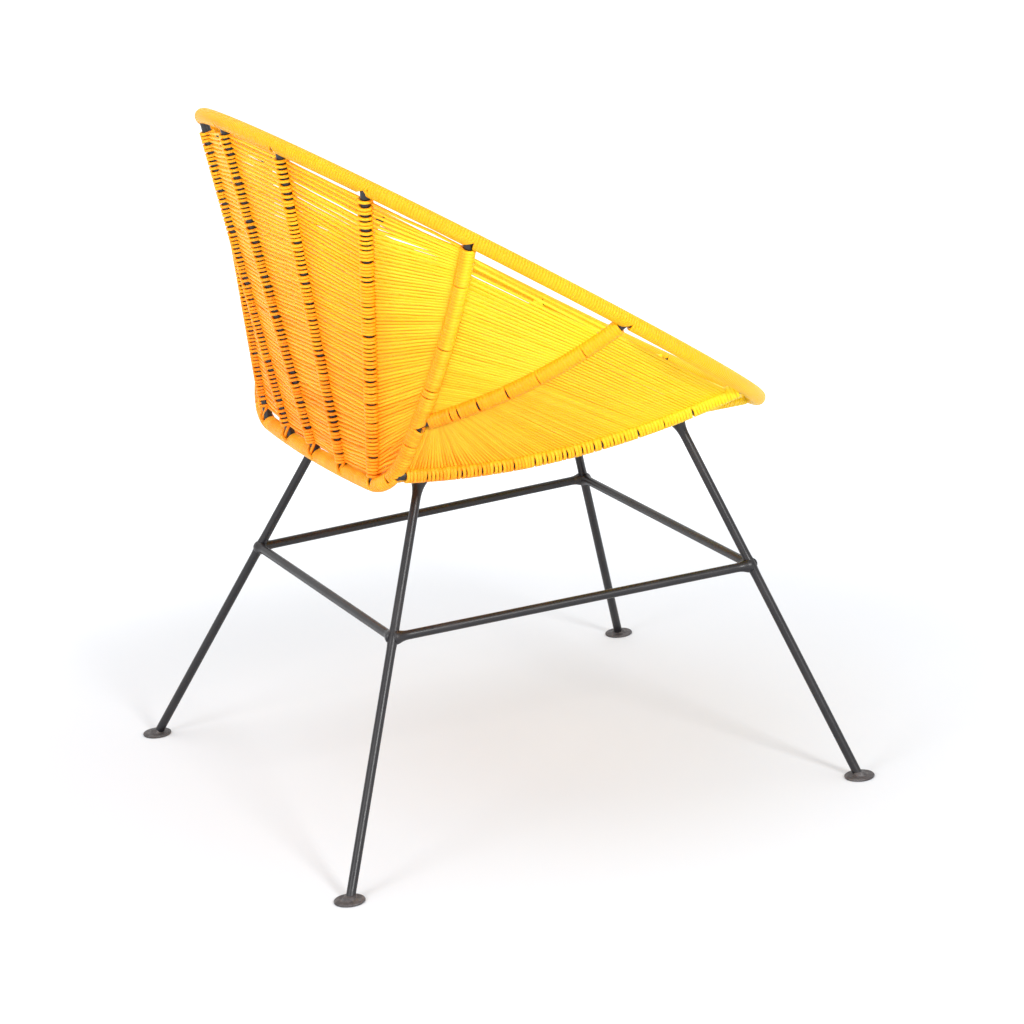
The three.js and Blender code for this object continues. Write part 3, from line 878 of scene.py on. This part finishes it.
# Bare rod at the top of each back rib, and at its foot besides the rail's room
RIB_TOP_ROOMS = (0.0145, 0.0145, 0.0145, 0.019, 0.0145)
RIB_BARE_ENDS = (0.0005, 0.0015, 0.0065, 0.0070, 0.0080)
for number, (route, kinds, first, last, top, bare) in enumerate(
        zip(ribs, RIB_GAPS, RIB_FIRST_GAPS, RIB_LAST_GAPS, RIB_TOP_ROOMS, RIB_BARE_ENDS), 1):
    known = dict(enumerate(first)) | {ROWS - 1 - len(last) + i: gap for i, gap in enumerate(last)}
    places = turn_places(top, route.length - RAIL_ROOM - bare, ROWS, known, kinds)
    stock = wind(f"back_rib_{number}", route, places, parted=PARTED)
    winding_piece(stock, "back_rib", f"_{number}")


def nearest(route, point):
    return route.reached[np.argmin(np.linalg.norm(route.points - point, axis=1))]


rib_feet = [nearest(hoop, rail_point(n * RIB_SPACING)) for n in RIB_ORDER]
RAIL_LEANS = (0.005, 0.0, 0.0, -0.0005, -0.0005)
RAIL_WRAP = 0.75
# Slits between the rail's turns: how far from the feet of which ribs, and their shape
SLITS = {1: (-0.0155, -0.019, -0.0225), 2: (-0.0155, -0.019, -0.0225), 3: (-0.017, -0.021)}
SLIT_ROOM, SLIT_REACH, SLIT_WRAP = 0.0009, 0.0017, 0.1
rail_joints = []
for number, (route, place, lean) in enumerate(zip(ribs, rib_feet, RAIL_LEANS), 1):
    towards = joint_direction(hoop, route.at(route.length - JOINT_SIGHT), place)
    rail_joints.append(Joint(hoop, place, towards, lean, wrap=RAIL_WRAP))
    for slit in SLITS.get(number, ()):
        rail_joints.append(
            Joint(hoop, place + slit, towards, room=SLIT_ROOM, reach=SLIT_REACH, wrap=SLIT_WRAP))
for side, sign in SIDES:
    place = nearest(hoop, rail_point(sign * BEARER_REAR_X))
    bearer_end = bearers[side].at(bearers[side].length - JOINT_SIGHT)
    rail_joints.append(Joint(hoop, place, joint_direction(hoop, bearer_end, place)))

# Cords that cross at the foot of a rib: which ribs, the share of a cord that lies on the rib, how far
# round the rib and the rail it goes in degrees, how far it ends from the rib, how deep its ends are
# tucked in, and where and how far the upper cord lifts over the other
CROSSED_RIBS = (2, 3, 4, 5)
CROSSING_STEPS = 14
CROSSING_DOWN_SHARE = 0.6
CROSSING_ROUND_RIB = 125
CROSSING_ROUND_RAIL = 105
CROSSING_REACH = 0.0095
CROSSING_TUCK = 0.0012
CROSSING_LIFT_SHARE, CROSSING_LIFT_WIDTH_SHARE = 0.43, 0.2
CROSSING_LIFT = 1.7 * CORD
CROSSING_TONE = 0.45


def crossing(stock, route, rail_place, start, hand, lift):
    """One cord from the flank of a rib across its foot and down over the rear rail."""
    foot, along = hoop.at(rail_place), hoop.along(rail_place)
    axis = route.along(start)
    out = route.outward(start)[0]
    flank = unit(along - dot(along, axis) * axis)
    share = np.linspace(0, 1, CROSSING_STEPS)[:, None]
    down = np.clip(share / CROSSING_DOWN_SHARE, 0, 1)
    over = np.clip((share - CROSSING_DOWN_SHARE) / (1 - CROSSING_DOWN_SHARE), 0, 1)
    turned = np.radians(90 - CROSSING_ROUND_RIB * down)
    dipped = np.radians(CROSSING_ROUND_RAIL * over)
    lifted = lift * np.exp(-((share - CROSSING_LIFT_SHARE) / CROSSING_LIFT_WIDTH_SHARE) ** 2)
    radius = TURN + lifted - CROSSING_TUCK * (1 - down) - CROSSING_TUCK * over
    level = route.at(start) + (foot - route.at(start)) * down
    ahead = radius * (np.cos(turned) * (1 - over) + over)
    across = hand * (radius * np.sin(turned) * (1 - over) - CROSSING_REACH * over)
    line = level + ahead * (np.cos(dipped) * out + np.sin(dipped) * axis) + across * flank
    around = np.cos(turned) * out + hand * np.sin(turned) * flank
    outside = unit(np.cos(dipped) * around + np.sin(dipped) * axis)
    tangent = np.gradient(line, axis=0)
    stock.add(line[None], unit(np.cross(tangent, outside))[None], CORD, section=PRESSED,
              tone=CROSSING_TONE, shade=RIB_LOOK[0])


bend_places = [nearest(hoop, rail_point(sign * BEND_X)) for side, sign in SIDES]
PITCH = 0.0035
stock = Stock()
for number in CROSSED_RIBS:
    route, place = ribs[number - 1], rib_feet[number - 1]
    start = route.length - RAIL_ROOM - RIB_BARE_ENDS[number - 1]
    crossing(stock, route, place, start, 1, 0.0)
    crossing(stock, route, place, start, -1, CROSSING_LIFT)
helix(stock, hoop, *bend_places, int((bend_places[1] - bend_places[0]) / PITCH), rail_joints, POST_LOOK)
winding_piece(stock, "rear_rail")

POST_TURNS = 80
# Known gaps between the turns of a post, in mm, and how far past the seat rail the turns go
POST_GAPS = {0: 0.0, 1: 0.0, 2: 0.0, 11: 1.2, 32: 1.8, 46: 1.6, 48: 1.6, 65: 1.4}
POST_PAST_RAIL = 0.008
POST_JOINT_LEAN, POST_JOINT_REACH = 0.002, 0.02
# The side of a post that the back rows come from, where its painted shade lies: inwards by this share of
# the way back
SHADED_INWARD = 0.30
for side, sign in SIDES:
    post = posts[side]
    foot = nearest(hoop, post.at(SEAT_RAIL_SHARE * post.length))
    last_turn = (foot if side == "left" else hoop.length - foot) + POST_PAST_RAIL
    places = turn_places(TOP_ROOM, last_turn, POST_TURNS, POST_GAPS, DENSE)
    if side == "right":
        places = hoop.length - places
    joints = []
    for share, other in ((SIDE_RIB_SHARE, side_ribs[side]), (SEAT_RAIL_SHARE, seat_rails[side])):
        place = nearest(hoop, post.at(share * post.length))
        towards = joint_direction(hoop, other.at(other.length - JOINT_SIGHT), place)
        joints.append(Joint(hoop, place, towards, sign * POST_JOINT_LEAN, reach=POST_JOINT_REACH))
    stock = wind(f"post_{side}", hoop, places, joints, POST_LOOK, LEANING_LITTLE,
                 shaded_side=(places[POST_TURNS // 2], vec(-sign * SHADED_INWARD, 1, 0)))
    start, end = places[-1] + sign * PITCH, bend_places[0 if side == "left" else 1] - sign * PITCH
    helix(stock, hoop, start, end, int(abs(end - start) / PITCH), joints + rail_joints, POST_LOOK)
    winding_piece(stock, "post", f"_{side}")

SIDE_RIB_TURNS = 63
RAIL_TURNS = 93
BEARER_TURNS = 104
# Known gaps between turns, in mm
SIDE_RIB_GAPS = {0: 0.0, 1: 0.0, 2: 0.0, 12: 1.2, 28: 1.3, 38: 2.2, 47: 2.8, 53: 1.8, 55: 1.6}
RAIL_GAPS = dict.fromkeys(range(44), 0.1) | {
    14: 2.2, 23: 0.8, 31: 2.2, 35: 1.2, 36: 1.0, 38: 0.9, 39: 0.7, 41: 2.4, 43: 2.0}
BEARER_GAPS = dict(enumerate((1.6, 1.4, 0.6, 1.8, 0.4, 2.0, 0.4, 2.2)))
RIB_FOOT_ROOM, RAIL_FOOT_ROOM, BEARER_FOOT_ROOM = 0.013, 0.0105, 0.013
RAIL_TOP_ROOM = 0.0105
LEG_ROOM, LEG_REACH, LEG_WRAP = 0.0135, 0.040, 0.25
for side, sign in SIDES:
    route = side_ribs[side]
    places = turn_places(TOP_ROOM, route.length - RIB_FOOT_ROOM, SIDE_RIB_TURNS, SIDE_RIB_GAPS, DENSE)
    stock = wind(f"side_rib_{side}", route, places, look=RIM_LOOK, tilt=LEANING_LITTLE)
    winding_piece(stock, "side_rib", f"_{side}")
    route = seat_rails[side]
    places = turn_places(RAIL_TOP_ROOM, route.length - RAIL_FOOT_ROOM, RAIL_TURNS, RAIL_GAPS, SPARSE)
    stock = wind(f"seat_rail_{side}", route, places, look=RAIL_LOOK)
    winding_piece(stock, "seat_rail", f"_{side}")
    route = bearers[side]
    places = turn_places(TOP_ROOM, route.length - BEARER_FOOT_ROOM, BEARER_TURNS, BEARER_GAPS, SPARSE)
    joints = []
    for leg in (legs[f"rear_{side}"], legs[f"front_{side}"]):
        place = nearest(route, leg.at(leg.length))
        towards = joint_direction(route, leg.at(leg.length - JOINT_SIGHT), place)
        joints.append(Joint(route, place, towards, room=LEG_ROOM, reach=LEG_REACH, wrap=LEG_WRAP))
    stock = wind(f"seat_bearer_{side}", route, places, joints, RAIL_LOOK)
    winding_piece(stock, "seat_bearer", f"_{side}")

# Rows laced between the rods

# A row leaves the turn of its rod in a bend of this radius, which starts at this distance and angle
FILLET = 0.0034
FILLET_START = float(np.sqrt(TURN ** 2 + 2 * TURN * FILLET))
TOUCH = float(np.arctan2(FILLET, FILLET_START))
# How far round the turn a row starts
ON_TURN = (0.45, 0.22, 0.0)


def row_end():
    """A row's end across a rod, seen along the rod: (across, inward) from the turn to the straight."""
    on_turn = [(TURN * np.cos(TOUCH + angle), TURN * np.sin(TOUCH + angle)) for angle in ON_TURN]
    bend = [(FILLET_START + FILLET * np.cos(angle), FILLET + FILLET * np.sin(angle))
            for angle in np.linspace(np.pi + TOUCH, 1.5 * np.pi, 4)[1:]]
    return np.array(on_turn + bend)


ROW_END = row_end()
ROW_CORD = 0.00178
END_TAPER = np.array([0.8, 0.97, 1, 1, 1, 1])
# The shortest row, and the flattest slant at which a row's end is still drawn out
LEAST_ROW = 0.021
LEAST_SLANT = 0.5
LOOSE = 0.00022


def laced(name, replaced, first, second, pairs, loose=LOOSE, shaded_end=0.0):
    """Rows between two wound rods. pairs are the turns of each rod that the rows join."""
    (first_route, first_places), (second_route, second_places) = rod_turns[first], rod_turns[second]
    places = [np.interp(turns, np.arange(len(known)), known)
              for turns, known in zip(pairs, (first_places, second_places))]
    middles = [first_route.at(places[0]), second_route.at(places[1])]
    long_enough = np.linalg.norm(middles[1] - middles[0], axis=1) > LEAST_ROW
    across = unit(middles[1] - middles[0])
    # Each end lies on the turn of its rod and bends off it towards the other rod
    ends, sides = [], []
    for route, place, middle, towards in zip(
            (first_route, second_route), places, middles, (across, -across)):
        along = route.along(place)
        inward = unit(np.cross(towards, along))
        inward *= np.sign(dot(inward, BUCKET - middle))
        stretch = 1 / np.maximum(np.linalg.norm(np.cross(towards, along), axis=1), LEAST_SLANT)
        reach = ROW_END[None, :, :1] * stretch[:, None, None]
        ends.append(middle[:, None] + reach * towards[:, None] + ROW_END[None, :, 1:] * inward[:, None])
        side = unit(np.cross(across, inward))
        sides.append(np.broadcast_to(side[:, None], ends[-1].shape))
    # Two more points lie on the way, a little off the straight line
    rows = len(pairs[0])
    start, end = ends[0][:, -1], ends[1][:, -1]
    share = np.array([1 / 3, 2 / 3])[None, :, None]
    middle_side = unit((sides[0][:, :2] + sides[1][:, :2]) / 2)
    normal = np.cross(across[:, None], middle_side)
    wobble = chance.normal(0, loose, (rows, 2, 1)) * middle_side
    wobble = wobble + chance.normal(0, loose, (rows, 2, 1)) * normal
    between = start[:, None] + (end - start)[:, None] * share + wobble
    paths = np.concatenate([ends[0], between, ends[1][:, ::-1]], 1)
    across_row = np.concatenate([sides[0], middle_side, sides[1][:, ::-1]], 1)
    radii = ROW_CORD * np.concatenate([END_TAPER, [1, 1], END_TAPER[::-1]])
    # Painted shade at the rows' ends beside the second rod
    deep = np.zeros(paths.shape[1])
    deep[-len(END_TAPER):] = shaded_end
    least, flanks = ROW_LOOK[0]
    tone = chance.uniform(*ROW_LOOK[1], (rows, 1))
    stock = Stock()
    stock.add(paths[long_enough], across_row[long_enough], radii[None], section=PRESSED,
              tone=tone[long_enough], shade=(least + deep[:, None], flanks))
    stock.piece(name, replaced, "yellow_cord", cord_plastic)


# How far the rows of the back lie off their lines, and how much painted shade they carry beside the next
# rib
BACK_LOOSE, BACK_END_SHADE = 0.00038, 0.5
# The rows beside a post: their numbers, and the turns on the post that they start from
POST_FAN_TURNS = ((0, 19, 33, 44, 55, 62, 66, 69), (0, 15.3, 27.6, 38.5, 50.5, 58, 64, 72))
back_rods = ["post_right"] + [f"back_rib_{n + 1}" for n in range(len(ribs))] + ["post_left"]
back_turns = {name: np.arange(ROWS) for name in back_rods}
for side, sign in SIDES:
    back_turns[f"post_{side}"] = np.interp(np.arange(ROWS), *POST_FAN_TURNS)
for number, (first, second) in enumerate(zip(back_rods, back_rods[1:]), 1):
    laced(f"back_rows_{number}", f"back_lacing_{number}", first, second,
          (back_turns[first], back_turns[second]), BACK_LOOSE, BACK_END_SHADE)

# The rows of a wing start with two that lie apart from the rest, under the rim. The turns on the
# post that they come from are given for some turns on the side rib.
WING_ROWS = 57
WING_APART = [2.0, 3.7]
WING_START, WING_END = 5.3, SIDE_RIB_TURNS - 3
WING_FAN_TURNS = ((2.0, 3.7, 5.3, 9.6, 17.0, 24.4, 32.1, 41.5, 60.0),
                  (2.2, 4.1, 6.4, 12.4, 22.0, 29.8, 37.0, 45.3, 57.0))
wing_on_rib = np.concatenate([
    WING_APART, np.linspace(WING_START, WING_END, WING_ROWS - len(WING_APART))])
wing_on_post = np.interp(wing_on_rib, *WING_FAN_TURNS)
# The rows of a flank: the turns on the side rib and the seat rail that they start from, and how
# their spread over the rail goes with that over the rib
FLANK_RIB_START, FLANK_RAIL_START = 2.6, 2
RAIL_FAN_SHARES = ([0, 0.12, 0.28, 0.53, 0.75, 1], [0, 0.19, 0.47, 0.76, 0.93, 1])
flank_on_rail = np.arange(FLANK_RAIL_START, RAIL_TURNS)
rail_shares = (flank_on_rail - FLANK_RAIL_START) / (RAIL_TURNS - 1 - FLANK_RAIL_START)
rib_shares = np.interp(rail_shares, *RAIL_FAN_SHARES)
flank_on_rib = FLANK_RIB_START + (SIDE_RIB_TURNS - 1 - FLANK_RIB_START) * rib_shares
for side, sign in SIDES:
    post, rib, rail, bearer = (
        f"{name}_{side}" for name in ("post", "side_rib", "seat_rail", "seat_bearer"))
    laced(f"wing_rows_{side}", f"wing_lacing_{side}", post, rib, (wing_on_post, wing_on_rib))
    laced(f"flank_rows_{side}", f"flank_lacing_{side}", rib, rail, (flank_on_rib, flank_on_rail))
    seat_turns = [np.linspace(0, turns - 1, RAIL_TURNS) for turns in (RAIL_TURNS, BEARER_TURNS)]
    laced(f"seat_rows_{side}", f"seat_lacing_{side}", rail, bearer, seat_turns)
bearer_turns = np.linspace(0, BEARER_TURNS - 1, BEARER_TURNS)
laced("seat_rows_middle", "seat_lacing_middle", "seat_bearer_left", "seat_bearer_right",
      (bearer_turns, bearer_turns))

# Floor, light and camera

FLOOR_HALF = 9.0
# The floor's colour for the light that it throws back, and where it is seen
FLOOR_PALE = (0.78, 0.78, 0.78, 1)
FLOOR_SEEN = (0.574, 0.594, 0.625, 1)
# How far it lifts to white where it is seen, near the chair and away from it
FLOOR_LIFT = (0.17, 0.75)
FLOOR_NEAR, FLOOR_FAR = 0.47, 1.45


def seen_share(tree):
    """One where a surface is seen, straight, through something or in a shine, and zero elsewhere."""
    paths = node(tree, "ShaderNodeLightPath").outputs
    through = node(tree, "ShaderNodeMath", [
        (0, paths["Is Camera Ray"]), (1, paths["Is Transmission Ray"])], operation="MAXIMUM").outputs[0]
    return node(tree, "ShaderNodeMath", [
        (0, through), (1, paths["Is Glossy Ray"])], operation="MAXIMUM").outputs[0]


def floor():
    """A pale floor. Where it is seen it lifts to white away from the chair, and keeps the shadows."""
    made, tree, shader = new_material("pale_floor")
    shader.inputs["Roughness"].default_value = 0.9
    shader.inputs["Specular IOR Level"].default_value = 0.0
    shown = seen_share(tree)
    tree.links.new(mixed(tree, shown, FLOOR_PALE, FLOOR_SEEN), shader.inputs["Base Color"])
    place = node(tree, "ShaderNodeTexCoord").outputs["Object"]
    away = node(tree, "ShaderNodeVectorMath", [(0, place)], operation="LENGTH")
    lift = node(tree, "ShaderNodeMapRange", [
        ("Value", away.outputs["Value"]), ("From Min", FLOOR_NEAR), ("From Max", FLOOR_FAR),
        ("To Min", FLOOR_LIFT[0]), ("To Max", FLOOR_LIFT[1])], interpolation_type="SMOOTHSTEP")
    seen = node(tree, "ShaderNodeMath", [(0, shown), (1, lift.outputs["Result"])], operation="MULTIPLY")
    shader.inputs["Emission Color"].default_value = (1, 1, 1, 1)
    tree.links.new(seen.outputs["Value"], shader.inputs["Emission Strength"])
    mesh = bpy.data.meshes.new("floor")
    corners = [(x * FLOOR_HALF, y * FLOOR_HALF, 0) for x, y in ((-1, -1), (1, -1), (1, 1), (-1, 1))]
    mesh.from_pydata(corners, [], [(0, 1, 2, 3)])
    mesh.materials.append(made)
    plane = bpy.data.objects.new("floor", mesh)
    bpy.context.scene.collection.objects.link(plane)


WORLD_LIGHT = 0.82


def sky():
    """Even light from all sides, seen as white."""
    world = bpy.data.worlds.new("soft_room")
    world.use_nodes = True
    bpy.context.scene.world = world
    tree = world.node_tree
    background = tree.nodes["Background"]
    strength = ranged(tree, seen_share(tree), 0.0, 1.0, WORLD_LIGHT, 1.0)
    tree.links.new(strength, background.inputs["Strength"])
    background.inputs["Color"].default_value = (1, 1, 1, 1)


def placed(right, up, back, place):
    """The matrix of something that stands at a place and looks along the opposite of back."""
    return Matrix([
        (*[float(axis[i]) for axis in (right, up, back)], float(place[i])) for i in range(3)]
        + [(0, 0, 0, 1)])


def aimed(thing, place, target):
    place, target = vec(*place), vec(*target)
    back = unit(place - target)
    right = unit(np.cross(vec(0, 0, 1), back))
    up = np.cross(back, right)
    thing.matrix_world = placed(right, up, back, place)


# The lamps' names, places, sizes and powers, and what they shine at
LAMPS = (("window", (-3.4, -0.4, 2.1), 0.7, 76),
         ("doorway", (-1.5, 3.4, 1.8), 1.6, 56),
         ("ceiling", (0.3, 0.4, 4.0), 3.0, 48))
LAMP_TARGET = (0, 0, 0.4)


def lamp(name, place, size, power):
    light = bpy.data.lights.new(name, "AREA")
    light.shape = "DISK"
    light.size = size
    light.energy = power
    made = bpy.data.objects.new(name, light)
    bpy.context.scene.collection.objects.link(made)
    aimed(made, place, LAMP_TARGET)


floor()
sky()
for settings in LAMPS:
    lamp(*settings)

# The photo's camera, fitted to the feet, the stretchers, the rim and the ribs
CAMERA_PLACE = vec(-3.6477, 1.4765 + SHIFT_Y, 1.4380)
CAMERA_TURN, CAMERA_DIP, CAMERA_ROLL = np.radians([112.637, 16.36, -4.82])
FOCAL_PIXELS = 3709.8
IMAGE_PIXELS = 1024
SENSOR_MM = 36.0
CAMERA_CLIP = 50


def camera():
    ahead = vec(np.sin(CAMERA_TURN) * np.cos(CAMERA_DIP), np.cos(CAMERA_TURN) * np.cos(CAMERA_DIP),
                -np.sin(CAMERA_DIP))
    level = vec(np.cos(CAMERA_TURN), -np.sin(CAMERA_TURN), 0)
    above = np.cross(level, ahead)
    right = level * np.cos(CAMERA_ROLL) + above * np.sin(CAMERA_ROLL)
    up = above * np.cos(CAMERA_ROLL) - level * np.sin(CAMERA_ROLL)
    lens = bpy.data.cameras.new("camera")
    lens.sensor_width = SENSOR_MM
    lens.lens = FOCAL_PIXELS / IMAGE_PIXELS * SENSOR_MM
    lens.clip_end = CAMERA_CLIP
    made = bpy.data.objects.new("camera", lens)
    made.matrix_world = placed(right, up, -ahead, CAMERA_PLACE)
    bpy.context.scene.collection.objects.link(made)
    bpy.context.scene.camera = made


camera()
bpy.context.scene.view_settings.view_transform = "Standard"
